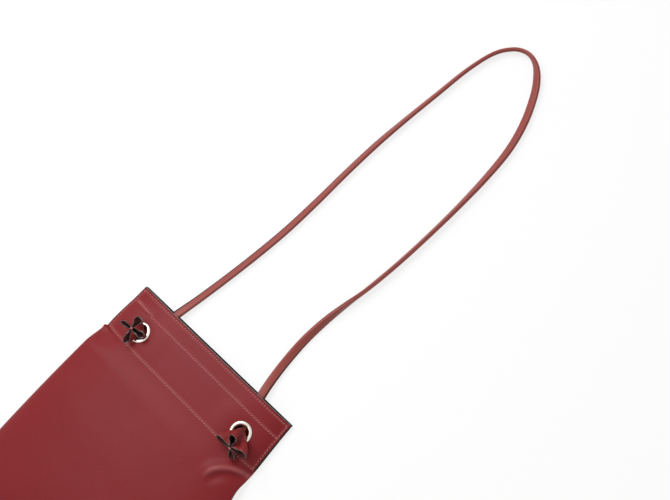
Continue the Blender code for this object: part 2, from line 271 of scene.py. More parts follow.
edgePaint = patchyFinish("edgePaint")
rimPaint = patchyFinish("rimPaint")
beadPaintAndHighlight = patchyFinish("beadPaintAndHighlight")
strapPaint = patchyFinish("strapPaint")
loopPaintAndHighlight = patchyFinish("loopPaintAndHighlight")
hollowLeatherAndShade = patchyFinish("hollowLeatherAndShade")
nickelPlate = nickelFinish()
sewingThread = threadFinish()
liningCloth = clothFinish()
print("finishes made")


# shared by every piece
mergeDistance = 0.01 * mm


def finishPiece(name, bm, materials, nodes, sharpness=40):
    mesh = bpy.data.meshes.new(name)
    bm.to_mesh(mesh)
    bm.free()
    for material in materials:
        mesh.materials.append(material)
    mesh.shade_smooth()
    mesh.set_sharp_from_angle(angle=math.radians(sharpness))
    piece = bpy.data.objects.new(name, mesh)
    bpy.context.scene.collection.objects.link(piece)
    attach(piece, "root")
    if nodes:
        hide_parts(*nodes)
    return piece


def ease(value, low, high):
    t = min(1.0, max(0.0, (value - low) / (high - low)))
    return t * t * (3 - 2 * t)


def hill(value, middle, width):
    return math.exp(-(((value - middle) / width) ** 2))


# the strap
strap = {
    "width": 10.0,
    "thickness": 4.6,
    "corner": 1.8,  # rounding of the edges
    "crown": ((0.52, 0.08), (0.34, 0.14), (0.16, 0.18), (0.0, 0.2)),  # share of the half width, rise
    "innerPaint": (-1.5, 0.0),  # the heights of the painted strip inside
    "outerPaint": (0.7, 2.4, 3.2),  # the strip outside: its foot, its reach, and its wider reach where it is black, partly painted shade
    "blackAndShadeShare": 0.36,  # of the length, from the left end, where the outer strip is black: edge paint and painted shade
    "lengthSteps": 8,  # rings between two route points
    "pinch": 0.62,  # how narrow its ends are, inside the knots
    "pinchRings": (8, 26),  # narrow up to the first, full width from the second
    "pathStep": 4,
    "exit": (-0.0817, 0.1000, 0.0139),
    "length": 1.150,
}
# x, y, z in mm, and the degrees that the upper face turns towards the outside of the loop
strapRoute = (
    (-81.7, 100.0, 13.9, 0),
    (-81.2, 100.6, 9.8, 0),
    (-79.3, 105.2, 6.3, 0),
    (-76.0, 114.0, 5.6, 0),
    (-71.5, 126.5, 5.8, 2),
    (-67.4, 141.0, 5.7, 8),
    (-64.6, 155.0, 4.6, 17),
    (-61.0, 172.5, 3.7, 23),
    (-54.0, 208.0, 3.5, 27),
    (-46.8, 249.0, 3.5, 28),
    (-40.6, 293.0, 3.6, 29),
    (-36.8, 340.0, 3.9, 34),
    (-34.1, 392.0, 4.1, 40),
    (-30.3, 441.0, 4.2, 43),
    (-24.5, 486.0, 4.4, 51),
    (-17.0, 535.0, 4.5, 55),
    (-9.5, 582.0, 4.6, 59),
    (1.0, 617.0, 4.6, 60),
    (15.7, 635.5, 4.6, 58),
    (31.0, 641.0, 4.7, 64),
    (45.0, 636.5, 5.0, 86),
    (58.0, 624.5, 4.6, 121),
    (71.0, 603.5, 4.0, 139),
    (84.5, 568.0, 3.9, 143),
    (92.3, 530.0, 4.0, 141),
    (94.2, 488.0, 4.3, 132),
    (92.8, 440.0, 4.7, 119),
    (89.3, 392.0, 4.8, 113),
    (84.3, 345.0, 4.8, 112),
    (77.8, 303.0, 4.9, 109),
    (71.3, 273.0, 5.0, 86),
    (66.2, 246.0, 4.6, 61),
    (63.2, 217.0, 4.1, 42),
    (63.1, 190.0, 3.7, 27),
    (65.1, 164.0, 4.2, 11),
    (68.6, 143.0, 5.7, 4),
    (73.6, 123.0, 5.7, 1),
    (78.6, 106.8, 6.1, 0),
    (80.8, 101.0, 9.0, 0),
    (81.6, 98.9, 14.2, 0),
)


def through(before, start, end, after, t):
    straight = 2 * start + (end - before) * t
    bend = (2 * before - 5 * start + 4 * end - after) * t * t
    return 0.5 * (straight + bend + (3 * start - before - 3 * end + after) * t * t * t)


def strapLine(steps):
    route = [Vector(point) for point in strapRoute]
    ends = [2 * route[0] - route[1]] + route + [2 * route[-1] - route[-2]]
    line = []
    for i in range(1, len(ends) - 2):
        for step in range(steps):
            line.append(through(*ends[i - 1 : i + 3], step / steps))
    return line + [route[-1]]


def strapSection():
    # the outline from the inner edge's middle up, over and round, with the painted strips:
    # 1 inside, 3 outside, 2 outside where it runs wider, which near the left end is black as painted
    # shade
    half = strap["width"] / 2
    corner = strap["corner"]
    flat = strap["thickness"] / 2 - corner
    quarter = [(half, 0.0)]
    for turn in range(0, 91, 18):
        angle = math.radians(turn)
        quarter.append((half - corner + corner * math.cos(angle), flat + corner * math.sin(angle)))
    for share, rise in strap["crown"]:
        quarter.append((half * share, flat + corner + rise))
    upper = quarter + [(-x, z) for x, z in reversed(quarter[:-1])]
    outline = upper[:-1] + [(-x, -z) for x, z in upper[:-1]]
    innerFoot, innerTop = strap["innerPaint"]
    outerFoot, reach, blackAndShadeReach = strap["outerPaint"]
    marked = []
    for x, z in outline:
        mark = 0
        if x > half - corner and innerFoot < z < innerTop:
            mark = 1
        elif x < -half + blackAndShadeReach and z > outerFoot:
            mark = 3 if x < -half + reach else 2
        marked.append((x, z, mark))
    return marked


def strapFrame(line, i):
    ahead = (line[min(i + 1, len(line) - 1)].xyz - line[max(i - 1, 0)].xyz).normalized()
    level = ahead.cross(Vector((0, 0, 1))).normalized()  # towards the right of travel
    turn = Quaternion(ahead, -math.radians(line[i].w))
    across = turn @ level
    return across, across.cross(ahead)


def makeStrap():
    line = strapLine(strap["lengthSteps"])
    section = strapSection()
    count = len(section)
    bm = bmesh.new()
    bmesh.ops.create_grid(bm, x_segments=count, y_segments=len(line) - 1, size=1)
    uv = bm.loops.layers.uv.new("lengthways")
    travelled = [0.0]
    for a, b in zip(line, line[1:]):
        travelled.append(travelled[-1] + (b.xyz - a.xyz).length * mm)
    for face in bm.faces:
        for loop in face.loops:
            row = round((loop.vert.co.y + 1) / 2 * (len(line) - 1))
            loop[uv].uv = ((loop.vert.co.x + 1) / 2, travelled[row])
        centre = face.calc_center_median()
        column = int((centre.x + 1) / 2 * count)
        mark = min(section[column][2], section[(column + 1) % count][2])
        # near the left end the outer strips take black edge paint, partly painted shade
        dark = (centre.y + 1) / 2 < strap["blackAndShadeShare"]
        face.material_index = 2 if dark and mark > 1 else mark % 2
    for vert in bm.verts:
        row = round((vert.co.y + 1) / 2 * (len(line) - 1))
        across, upward = strapFrame(line, row)
        x, z, _ = section[round((vert.co.x + 1) / 2 * count) % count]
        wide = ease(min(row, len(line) - 1 - row), *strap["pinchRings"])
        x *= strap["pinch"] + (1 - strap["pinch"]) * wide
        vert.co = (line[row].xyz + across * x + upward * z) * mm
    bmesh.ops.remove_doubles(bm, verts=bm.verts, dist=mergeDistance)
    for edges in openLoops(bm):
        bmesh.ops.contextual_create(bm, geom=edges)
    bmesh.ops.recalc_face_normals(bm, faces=bm.faces)
    skins = (strapLeather, strapPaint, edgePaint)
    piece = finishPiece("strap", bm, skins, ["strap"], 60)
    return piece, [point.xyz * mm for point in line]


def openLoops(bm):
    # the open edges, sorted into their separate loops
    left = [edge for edge in bm.edges if edge.is_boundary]
    loops = []
    while left:
        loop = [left.pop()]
        more = loop
        while more:
            ends = {vert for edge in loop for vert in edge.verts}
            more = [edge for edge in left if ends & set(edge.verts)]
            left = [edge for edge in left if edge not in more]
            loop += more
        loops.append(loop)
    return loops


strapPiece, strapPath = makeStrap()
print("strap made, mm long:", round(sum((b - a).length for a, b in zip(strapPath, strapPath[1:])) / mm))


# the bag's shape, as its leather lies, in mm
bag = {
    "height": 280.0,
    "band": 234.0,
    "bandHeight": 60.0,
    "panel": 1.3,
    "facing": 1.0,
    "lining": 0.5,
    "gap": 0.3,
    "ease": 6.0,  # the body stands out beyond the band at each side
    "swell": 2.0,  # and this much more halfway down
    "leftStep": 4.0,  # the body's left side steps out over this length
    "rightTuck": 18.0,  # the right side stays as narrow as the band down to here
    "rightStep": 42.0,
    "mouthRise": 7.0,  # how far the front bows up from the back at the mouth
    "bandRise": 12.0,  # and at the band's foot
    "bowPower": 6,  # higher is flatter, with steeper sides
    "seamInset": 4.0,
    "blend": 30.0,  # the flat band turns into the body over this length
    "seamHeight": 9.0,  # the body's seams lie this high
    "fullness": 17.0,  # the front stands up from them by this
    "fullnessDrop": 4.0,  # less towards the band
    "fullnessFade": (-20, 60),  # and it drops between these heights
    "domePower": 2.6,
    "domeRound": 0.42,
    "footPower": 5,
    "flatBack": 1.3,  # above 1, the back is flat on the table
    "liningMargin": 7.7,  # the linings' top above the band's foot
    "liningSide": 10.0,  # and their distance from the band's sides
    "backRise": 0.8,  # the back stands this far above the front at the mouth
    "paintAcross": 0.9,  # how far the edge paint runs over the front's face at the mouth
    "paintSide": 0.75,  # and at the band's sides
    "bead": 0.5,  # the front's own edge, in paint that is pale in patches as a painted highlight
    "backPaintAndShade": (1.5, 0.5),  # the same two widths on the back, whose black strip inside the mouth is partly painted shade
    "facingPaintAndShade": (3.2, 0),  # and on the back's facing inside the mouth, black edge paint that is partly painted shade
    "rimRound": 0.4,
    "slack": 0.55,  # how much the body's leather waves
    "bandSlack": 0.15,  # share of it in the band
    "calm": (0.12, 12),  # no waves this near to the sides, by half the width, and to the foot
    "ripple": 0.35,  # the linings' waves
    "rippleScale": 1.6,  # how much closer together they are
    "liningCalm": (0.1, 15, 12),  # the sides, the foot and the top, where they have none
    "backPress": 0.8,  # share of the seams' depth behind
    "facingPress": 0.5,  # and inside
}
topY = bag["height"] / 2
footY = topY - bag["bandHeight"]
bandHalf = bag["band"] / 2
sideStack = 2 * (bag["panel"] + bag["facing"]) + 3 * bag["gap"]
eyelet = {
    "x": 81.0,
    "y": topY - 40.0,
    "radius": 12.2,
    "hole": 7.6,
    "wall": 0.7,
    "dome": 2.0,
    "washer": 0.8,
    "washerInset": 0.7,
    "roll": 0.5,
    "rollReach": 1.7,
    "seat": 13.0,
    "seatBlend": 42.0,
    "punched": 1.2,  # the leather's hole is this much wider than the eyelet's
    "still": (14, 26),  # the leather doesn't wave up to the first distance
    "dent": (12.6, 0.3, 1.4),  # pressed into the leather: its radius, depth and width
    "round": 0.25,  # the washer's corners
    "arc": 20,  # parts of the dome's section
    "under": (0.3, 0.1),  # the dome's underside: its inset and its height
    "rollCorners": (0.2, 0.15, 0.1),
    "steps": 72,
}
# a soft fold that curves out of the right side: gentle outside its crest, steep inside
softFold = {
    "x": 117.0,  # the middle of its arc
    "y": 37.0,
    "radius": 35.3,
    "height": 3.8,
    "outside": 6.8,
    "inside": 2.9,
    # along the steep side: its depth by the crest's height, its place and width by the inside
    "trough": (0.45, 2.6, 1.6),
    "start": (68, 96),  # degrees, where it rises
    "end": (150, 179),
    "bandEdge": (7, 1),  # it fades from below the band's foot to above it
}
seams = {
    "top": topY - 3.3,
    "middle": 120.0,
    "lower": footY + 0.6,
    "side": bandHalf - 2.8,
    "pitch": 3.5,
    "middleStart": -86.0,  # left of here the leather runs out in a ridge
    "sideFoot": 3,  # the side seams' marks fade this far below the band
}
# the ridge: its place above the seam, its hump, its width and height, and where it fades
seamEnd = {
    "above": 1.8,
    "hump": (0.9, -106, 8),
    "width": 1.9,
    "height": 1.7,
    "left": (-117, -107),
    "right": (-93, -82),
}
# how deep the stitching presses the leather, and how the stiffener lifts it, in mm
pressing = {
    "top": 0.32,
    "middle": 0.42,
    "lower": 0.45,
    "narrow": 0.75,
    "wide": 0.95,
    "lane": 0.35,
    "laneEdge": 9,
    "middleStart": (-96, -84),
}
# how far the leather is painted pale, partly as rubbed wear and partly as a painted highlight, and how
# far from each seam
rubbingAndHighlights = {
    "ridge": 0.55,
    "fold": (0.5, 0.9, 2.3),
    "middle": (0.30, 0.9, 1.2),
    "lower": (0.30, 1.0, 1.3),
    "edges": (0.12, 0.9, 1.0),
    "middleStart": (-92, -80),
}
# how far the sides lie to the left
leaning = {
    "reach": (92, 114),
    "blend": 8,  # below the band
    "body": 2.2,
    "bandFoot": 4.9,
    "bandGain": 2.0,  # less at the band's top
    "right": 2.75,
    "rightStart": -0.35,
    "rightBlend": 20,
}


def bodyShare(y):
    return 1 - ease(y, footY - bag["blend"], footY)


def halfWidth(side, y):
    tuck, step = (0, bag["leftStep"]) if side < 0 else (bag["rightTuck"], bag["rightStep"])
    middle = (footY - topY) / 2
    swell = max(0.0, 1 - ((y - middle) / (footY - middle)) ** 2)
    start = footY - tuck
    return bandHalf + (bag["ease"] + bag["swell"] * swell) * (1 - ease(y, start - step, start))


def lean(x, y):
    # the band lies a little to the left at its sides, and splays towards its foot
    reach = ease(abs(x), *leaning["reach"])
    if x < 0:
        inBand = ease(y, footY - leaning["blend"], footY)
        band = leaning["bandFoot"] - leaning["bandGain"] * ease(y, footY, topY)
        return -reach * (leaning["body"] * (1 - inBand) + band * inBand)
    up = ease(y, footY - leaning["rightBlend"], topY)
    return -reach * (leaning["right"] * up + leaning["rightStart"])


def bow(x):
    return max(0.0, 1 - abs(x / (bandHalf - bag["seamInset"])) ** bag["bowPower"])


def bowedHeight(x, y):
    rise = bag["mouthRise"] + (bag["bandRise"] - bag["mouthRise"]) * min(
        1.0, (topY - y) / bag["bandHeight"]
    )
    closing = ease(y, footY - bag["leftStep"], footY)
    slack = (2 * bag["facing"] + 2 * bag["gap"]) * (1 - closing) * (1 - bow(x))
    return sideStack - slack + rise * bow(x)


def eyeletSlope(x, y):
    across = (bowedHeight(x + 0.1, y) - bowedHeight(x - 0.1, y)) / 0.2
    along = (bowedHeight(x, y + 0.1) - bowedHeight(x, y - 0.1)) / 0.2
    return across, along


eyeletSlopes = {side: eyeletSlope(side * eyelet["x"], eyelet["y"]) for side in (-1, 1)}


def bandSurface(x, y):
    height = bowedHeight(x, y)
    side = -1 if x < 0 else 1
    centre = side * eyelet["x"]
    away = math.hypot(x - centre, y - eyelet["y"])
    if away > eyelet["seatBlend"]:
        return height
    across, along = eyeletSlopes[side]
    seat = bowedHeight(centre, eyelet["y"]) + across * (x - centre) + along * (y - eyelet["y"])
    return height + (1 - ease(away, eyelet["seat"], eyelet["seatBlend"])) * (seat - height)


def dome(share):
    return max(0.0, 1 - abs(share) ** bag["domePower"]) ** bag["domeRound"]


def footClose(y):
    return math.sqrt(max(0.0, 1 - max(0.0, -y / topY) ** bag["footPower"]))


def foldReach(x, y):
    # the fold's share along its arc, and the way from its crest
    away = math.hypot(x - softFold["x"], y - softFold["y"]) - softFold["radius"]
    angle = math.degrees(math.atan2(y - softFold["y"], x - softFold["x"]))
    reach = ease(angle, *softFold["start"]) * (1 - ease(angle, *softFold["end"]))
    below, above = softFold["bandEdge"]
    return reach * (1 - ease(y, footY - below, footY + above)), away


def foldLift(x, y):
    reach, away = foldReach(x, y)
    inside = softFold["inside"]
    ridge = hill(away, 0, softFold["outside"] if away > 0 else inside)
    deep, beside, width = softFold["trough"]
    trough = deep * hill(away, -beside * inside, width * inside)
    return softFold["height"] * reach * (ridge - trough)


def inwardY(y, depth):
    return y + depth * (1 - ease(y, -topY, -topY + bag["bandHeight"]))


def frontPoint(bent, y, depth, half=halfWidth):
    share = bodyShare(y)
    x = bent * (half(bent, y) - share * depth)
    flat = bandSurface(x, y) - depth
    crown = bag["fullness"] - bag["fullnessDrop"] * ease(y, *bag["fullnessFade"])
    full = bag["seamHeight"] + bag["gap"] / 2 + (crown - depth) * dome(bent) * footClose(y)
    z = flat + share * (full - flat) + foldLift(x, y) * ease(1 - abs(bent), 0, 0.1)
    return Vector((x, inwardY(y, depth), z))


def backPoint(bent, y, depth, half=halfWidth):
    share = bodyShare(y)
    low = bag["seamHeight"] - bag["gap"] / 2
    full = low - (low - depth) * min(1.0, bag["flatBack"] * dome(bent) * footClose(y))
    x = bent * (half(bent, y) - share * depth)
    return Vector((x, inwardY(y, depth), depth + share * (full - depth)))


def liningHalf(side, y):
    share = 1 - ease(y, footY - 1.2 * bag["blend"], footY - 0.6 * bag["blend"])
    narrow = bandHalf - bag["liningSide"]
    return narrow + share * (halfWidth(side, y) - narrow)


def seamRidge(x, y):
    # left of the left eyelet the middle seam runs out in a ridge of the leather
    hump, middle, width = seamEnd["hump"]
    crest = seams["middle"] + seamEnd["above"] + hump * hill(x, middle, width)
    share = (1 - ease(x, *seamEnd["right"])) * ease(x, *seamEnd["left"])
    return hill(y, crest, seamEnd["width"]) * share


def rubAndHighlightShare(x, y):
    # how far the leather is painted pale over ridges and beside the seams: partly rubbed wear, partly a
    # painted highlight
    reach, away = foldReach(x, y)
    amount, beside, width = rubbingAndHighlights["fold"]
    pale = rubbingAndHighlights["ridge"] * seamRidge(x, y) + amount * reach * hill(away, beside, width)
    amount, beside, width = rubbingAndHighlights["middle"]
    pale += amount * hill(y, seams["middle"] + beside, width) * ease(x, *rubbingAndHighlights["middleStart"])
    amount, beside, width = rubbingAndHighlights["lower"]
    pale += amount * hill(y, seams["lower"] + beside, width)
    amount, beside, width = rubbingAndHighlights["edges"]
    pale += amount * hill(y, seams["top"] - beside, width)
    inBand = ease(y, footY - seams["sideFoot"], footY)
    pale += amount * hill(abs(x), seams["side"] - beside, width) * inBand
    return min(1.0, pale)


def pressed(x, y):
    # how far the stitching and the turned-in stiffener press or lift the leather
    narrow, wide, edge = pressing["narrow"], pressing["wide"], pressing["laneEdge"]
    deep = pressing["top"] * hill(y, seams["top"], narrow)
    deep += pressing["middle"] * hill(y, seams["middle"], wide) * ease(x, *pressing["middleStart"])
    deep += pressing["lower"] * hill(y, seams["lower"], wide)
    inBand = ease(y, footY - seams["sideFoot"], footY)
    deep += pressing["top"] * hill(abs(x), seams["side"], narrow) * inBand
    lane = ease(y, seams["lower"], seams["lower"] + edge)
    lane *= 1 - ease(y, seams["middle"] - edge, seams["middle"])
    return seamEnd["height"] * seamRidge(x, y) + pressing["lane"] * lane - deep


# the waves of slack leather: their lengths in mm, and how high the small ones are
waves = {"broad": 46, "small": 17, "share": 0.35}


def waved(x, y, amount):
    broad = noise.noise(Vector((x / waves["broad"], y / waves["broad"], 3.1)))
    small = noise.noise(Vector((x / waves["small"], y / waves["small"], 8.4)))
    return amount * (broad + waves["share"] * small)


def frontSkin(bent, y, depth):
    point = frontPoint(bent, y, depth)
    point.x += lean(point.x, y)
    sideCalm, footCalm = bag["calm"]
    inside = ease(1 - abs(bent), 0.0, sideCalm) * ease(y + topY, 0, footCalm)
    loose = bag["bandSlack"] + (1 - bag["bandSlack"]) * bodyShare(y)
    away = math.hypot(abs(point.x) - eyelet["x"], y - eyelet["y"])
    loose *= ease(away, *eyelet["still"])
    point.z += pressed(point.x, y) + waved(point.x, y, bag["slack"]) * inside * loose
    radius, dent, width = eyelet["dent"]
    point.z -= dent * hill(away, radius, width)
    return point * mm


def backSkin(bent, y, depth):
    point = backPoint(bent, y, depth)
    point.x += lean(point.x, y)
    point.y += bag["backRise"] * ease(y, footY, topY)
    point.z -= min(0.0, pressed(point.x, y)) * bag["backPress"]
    return point * mm


# how far apart the rows of each sheet lie: away from a seam, and at one
rowSteps = {"front": (1.8, 0.42), "back": (3.2, 0.5), "facing": (2.5, 0.5), "lining": (3.4, 1.0)}
# they lie close up to this distance from a seam and then widen by this share of the distance,
# and the last one may be this much wider than its step
closeRows = {"reach": 2.2, "growth": 0.5, "last": 1.4}


def stops(start, end, coarse, fine, marks):
    # places from start to end, close together near the marks
    places = [start]
    way = 1 if end > start else -1
    while True:
        here = places[-1]
        near = min((abs(here + way * fine - mark) for mark in marks), default=99)
        beyond = near - closeRows["reach"]
        step = fine if beyond < 0 else min(coarse, fine + beyond * closeRows["growth"])
        if way * (end - here) <= step * closeRows["last"]:
            break
        places.append(here + way * step)
    return places + [end]


def leatherSheet(
    name, across, down, place, near, far, materials, nodes, holes=(), painted=(0, 0), bead=0
):
    # a grid whose two skins lie at the depths near and far; the band's raw rim takes the edge
    # paint, which runs onto the leather by the painted widths at the mouth and the band's sides
    bm = bmesh.new()
    crest = bm.verts.layers.float.new("crest")
    bmesh.ops.create_grid(bm, x_segments=len(across) - 1, y_segments=len(down) - 1, size=1)
    outer = list(bm.verts)
    drawn = bmesh.ops.extrude_face_region(bm, geom=bm.faces[:], use_keep_orig=True)["geom"]
    inner = {g for g in drawn if isinstance(g, bmesh.types.BMVert)}
    flat = {}
    for verts, depth in ((outer, near), (inner, far)):
        for vert in verts:
            column = round((vert.co.x + 1) / 2 * (len(across) - 1))
            row = round((1 - vert.co.y) / 2 * (len(down) - 1))
            flat[vert] = Vector((across[column], down[row]))
            # the crest attribute holds the pale share: partly rubbed wear, partly a painted highlight
            vert[crest] = rubAndHighlightShare(*flat[vert])
            vert.co = place(across[column] / bandHalf, down[row], depth)
    rim = []
    for face in bm.faces:
        sides = sum(vert in inner for vert in face.verts)
        middle = sum((flat[vert] for vert in face.verts), Vector((0, 0))) / 4
        inBand = middle.y > footY
        if sides == 4:
            face.material_index = 2
        elif sides:
            face.material_index = 1 if inBand else 0
            rim += [edge for edge in face.edges if sum(v in inner for v in edge.verts) != 1]
        # edge paint over the widths given; on the back and its facing inside the mouth it is partly
        # painted shade
        if middle.y > down[0] - painted[0] or inBand and abs(middle.x) > bandHalf - painted[1]:
            face.material_index = 1
        # the front's mouth edge takes the bead paint, pale in patches as a painted highlight
        if middle.y > down[0] - bead and sides < 4:
            face.material_index = 3
    for x, y, radius in holes:
        cutRound(bm, x, y, radius)
    rim = [edge for edge in dict.fromkeys(rim) if edge.is_valid]
    bevelled = bmesh.ops.bevel(
        bm, geom=rim, offset=bag["rimRound"] * mm, offset_type="OFFSET", affect="EDGES",
        segments=3, profile=0.5, material=-1, clamp_overlap=True,
    )
    for face in bevelled["faces"]:
        if face.calc_center_median().y > (footY + 1) * mm:
            atMouth = face.calc_center_median().y > (down[0] - bead) * mm
            face.material_index = 3 if bead and atMouth else 1
    if bm.calc_volume(signed=True) < 0:
        bmesh.ops.reverse_faces(bm, faces=bm.faces)
    return finishPiece(name, bm, materials, nodes, 50)


def cutRound(bm, x, y, radius):
    # a punched hole through both skins
    centre = Vector((x * mm, y * mm))
    gone = [f for f in bm.faces if all((v.co.xy - centre).length < radius * mm for v in f.verts)]
    bmesh.ops.delete(bm, geom=gone, context="FACES")
    loops = []
    for loop in openLoops(bm):
        if all((v.co.xy - centre).length < radius * mm * 1.6 for e in loop for v in e.verts):
            loops.append(loop)
    for loop in loops:
        for vert in {v for e in loop for v in e.verts}:
            outwards = (vert.co.xy - centre).normalized() * radius * mm
            vert.co.x = centre.x + outwards.x
            vert.co.y = centre.y + outwards.y
    made = bmesh.ops.bridge_loops(bm, edges=[e for loop in loops for e in loop])
    for face in made["faces"]:
        face.material_index = 1


def punchedHoles():
    return [(side * eyelet["x"], eyelet["y"], eyelet["hole"] + eyelet["punched"]) for side in (-1, 1)]


def makeLeather():
    sewn = [topY, seams["top"], seams["middle"], seams["lower"], -topY]
    sides = [-bandHalf, -seams["side"], seams["side"], bandHalf]
    down = stops(topY, -topY, *rowSteps["front"], sewn + [seams["middle"] + 2.5])
    across = stops(-bandHalf, bandHalf, *rowSteps["front"], sides)
    wall = bag["panel"]
    skins = (panelLeather, edgePaint, facingLeather, beadPaintAndHighlight)
    painted = (bag["paintAcross"], bag["paintSide"])
    leatherSheet(
        "frontPanel", across, down, frontSkin, 0, wall, skins, ["front_panel"],
        punchedHoles(), painted, bag["bead"],
    )
    down = stops(topY, -topY, *rowSteps["back"], sewn)
    across = stops(-bandHalf, bandHalf, *rowSteps["back"], sides)
    leatherSheet(
        "backPanel", across, down, backSkin, 0, wall, skins, ["back_panel"],
        (), bag["backPaintAndShade"],
    )


def facingSkin(bent, y, depth):
    point = frontPoint(bent, y, depth)
    point.x += lean(point.x, y)
    point.z += pressed(point.x, y) * bag["facingPress"]
    return point * mm


def backFacingSkin(bent, y, depth):
    point = backPoint(bent, y, depth)
    point.x += lean(point.x, y)
    point.y += bag["backRise"] * ease(y, footY, topY)
    return point * mm


def makeFacings():
    near = bag["panel"] + bag["gap"]
    far = near + bag["facing"]
    sewn = [topY, seams["top"], seams["middle"]]
    down = stops(topY - bag["gap"], footY + bag["gap"], *rowSteps["facing"], sewn)
    across = stops(-bandHalf, bandHalf, *rowSteps["facing"], [-bandHalf, bandHalf])
    skins = (facingLeather, edgePaint, facingLeather)
    leatherSheet(
        "frontFacing", across, down, facingSkin, near, far, skins,
        ["front_facing"], punchedHoles(),
    )
    leatherSheet(
        "backFacing", across, down, backFacingSkin, near, far, skins,
        ["back_facing"], (), bag["facingPaintAndShade"],
    )


def liningSkin(place):
    def skin(bent, y, depth):
        point = place(bent, y, depth, liningHalf)
        point.x += lean(point.x, y)
        sideCalm, footCalm, topCalm = bag["liningCalm"]
        soft = ease(1 - abs(bent), 0.0, sideCalm) * ease(y + topY, 0, footCalm)
        soft *= ease(footY - y, 0, topCalm)
        scale = bag["rippleScale"]
        ripple = waved(point.x * scale, point.y * scale, bag["ripple"]) * soft
        point.z += -abs(ripple) if place is frontPoint else abs(ripple)
        return point * mm

    return skin


def makeLinings():
    near = bag["panel"] + bag["facing"] + 2 * bag["gap"]
    far = near + bag["lining"]
    down = stops(footY + bag["liningMargin"], -topY, *rowSteps["lining"], [-topY])
    across = stops(-bandHalf, bandHalf, *rowSteps["lining"], [-bandHalf, bandHalf])
    skins = (liningCloth, liningCloth, liningCloth)
    for side, place in (("front", frontPoint), ("back", backPoint)):
        lining = leatherSheet(
            side + "Lining", across, down, liningSkin(place), near, far, skins,
            [side + "_lining"],
        )


makeLeather()
print("panels made")
makeFacings()
makeLinings()
print("facings and linings made")


# the stitching
stitch = {
    "length": 2.7,
    "radius": 0.5,
    "slant": 20,
    "proud": 0.08,  # how far its middle stands out of the leather
    "eyeletRoom": 1,  # none nearer to an eyelet than this
}


def surfaceFrame(place, x, y):
    # a point on the leather's face at x and y, with its way out
    half = halfWidth(-1 if x < 0 else 1, y)
    here = place(x / half, y, 0)
    right = place((x + 0.4) / half, y, 0) - here
    ahead = place(x / half, y + 0.4, 0) - here
    return here, right.cross(ahead).normalized()


def threadSize(thread):
    return Matrix.Diagonal((thread["length"] / 2, thread["radius"], thread["radius"], 1 / mm)) * mm


def sewRun(bm, place, start, end, outwards):
    # stitches from start to end over the leather
    length = math.hypot(end[0] - start[0], end[1] - start[1])
    count = int(length / seams["pitch"])
    for i in range(count):
        t = (i + 0.5) / count
        x = start[0] + (end[0] - start[0]) * t
        y = start[1] + (end[1] - start[1]) * t
        near = math.hypot(abs(x) - eyelet["x"], y - eyelet["y"])
        if near < eyelet["radius"] + stitch["eyeletRoom"]:
            continue
        here, up = surfaceFrame(place, x, y)
        up = up * outwards
        along = Vector((end[0] - start[0], end[1] - start[1], 0)).normalized()
        along = (along - up * along.dot(up)).normalized()
        along = Quaternion(up, math.radians(stitch["slant"])) @ along
        side = up.cross(along)
        turn = Matrix((along, side, up)).transposed().to_4x4()
        bmesh.ops.create_uvsphere(
            bm, u_segments=8, v_segments=6, radius=1,
            matrix=Matrix.Translation(here + up * stitch["proud"] * mm) @ turn @ threadSize(stitch),
        )


def makeStitching():
    side = seams["side"]
    runs = (
        ((-side, seams["top"]), (side, seams["top"])),
        ((-side, seams["lower"] + 1), (-side, seams["top"])),
        ((side, seams["lower"] + 1), (side, seams["top"])),
        ((seams["middleStart"], seams["middle"]), (side, seams["middle"])),
        ((-side, seams["lower"]), (side, seams["lower"])),
    )
    bm = bmesh.new()
    for start, end in runs:
        sewRun(bm, frontSkin, start, end, 1)
    finishPiece("frontStitching", bm, (sewingThread,), ())
    bm = bmesh.new()
    for start, end in runs:
        sewRun(bm, backSkin, start, end, -1)
    finishPiece("backStitching", bm, (sewingThread,), ())


makeStitching()
print("stitching made")


# the eyelets
def seatOnBand(bm, side):
    # stands a turned piece on the front of the band, square to the leather
    across, along = eyeletSlopes[side]
    x = side * eyelet["x"]
    turn = Vector((0, 0, 1)).rotation_difference(Vector((-across, -along, 1))).to_matrix().to_4x4()
    place = Matrix.Translation(Vector((x, eyelet["y"], bowedHeight(x, eyelet["y"]))) * mm)
    bmesh.ops.transform(bm, matrix=place @ turn @ Matrix.Diagonal((mm, mm, mm, 1)), verts=bm.verts)


def turned(name, profile, side, material, nodes):
    bm = bmesh.new()
    ring = [bm.verts.new((r, 0, z)) for r, z in profile]
    edges = [bm.edges.new((a, b)) for a, b in zip(ring, ring[1:] + ring[:1])]
    bmesh.ops.spin(
        bm, geom=ring + edges, cent=(0, 0, 0), axis=(0, 0, 1), angle=2 * math.pi,
        steps=eyelet["steps"], use_merge=True,
    )
    bmesh.ops.recalc_face_normals(bm, faces=bm.faces)
    if bm.calc_volume(signed=True) < 0:
        bmesh.ops.reverse_faces(bm, faces=bm.faces)
    seatOnBand(bm, side)
    finishPiece(name, bm, (material,), nodes, 35)


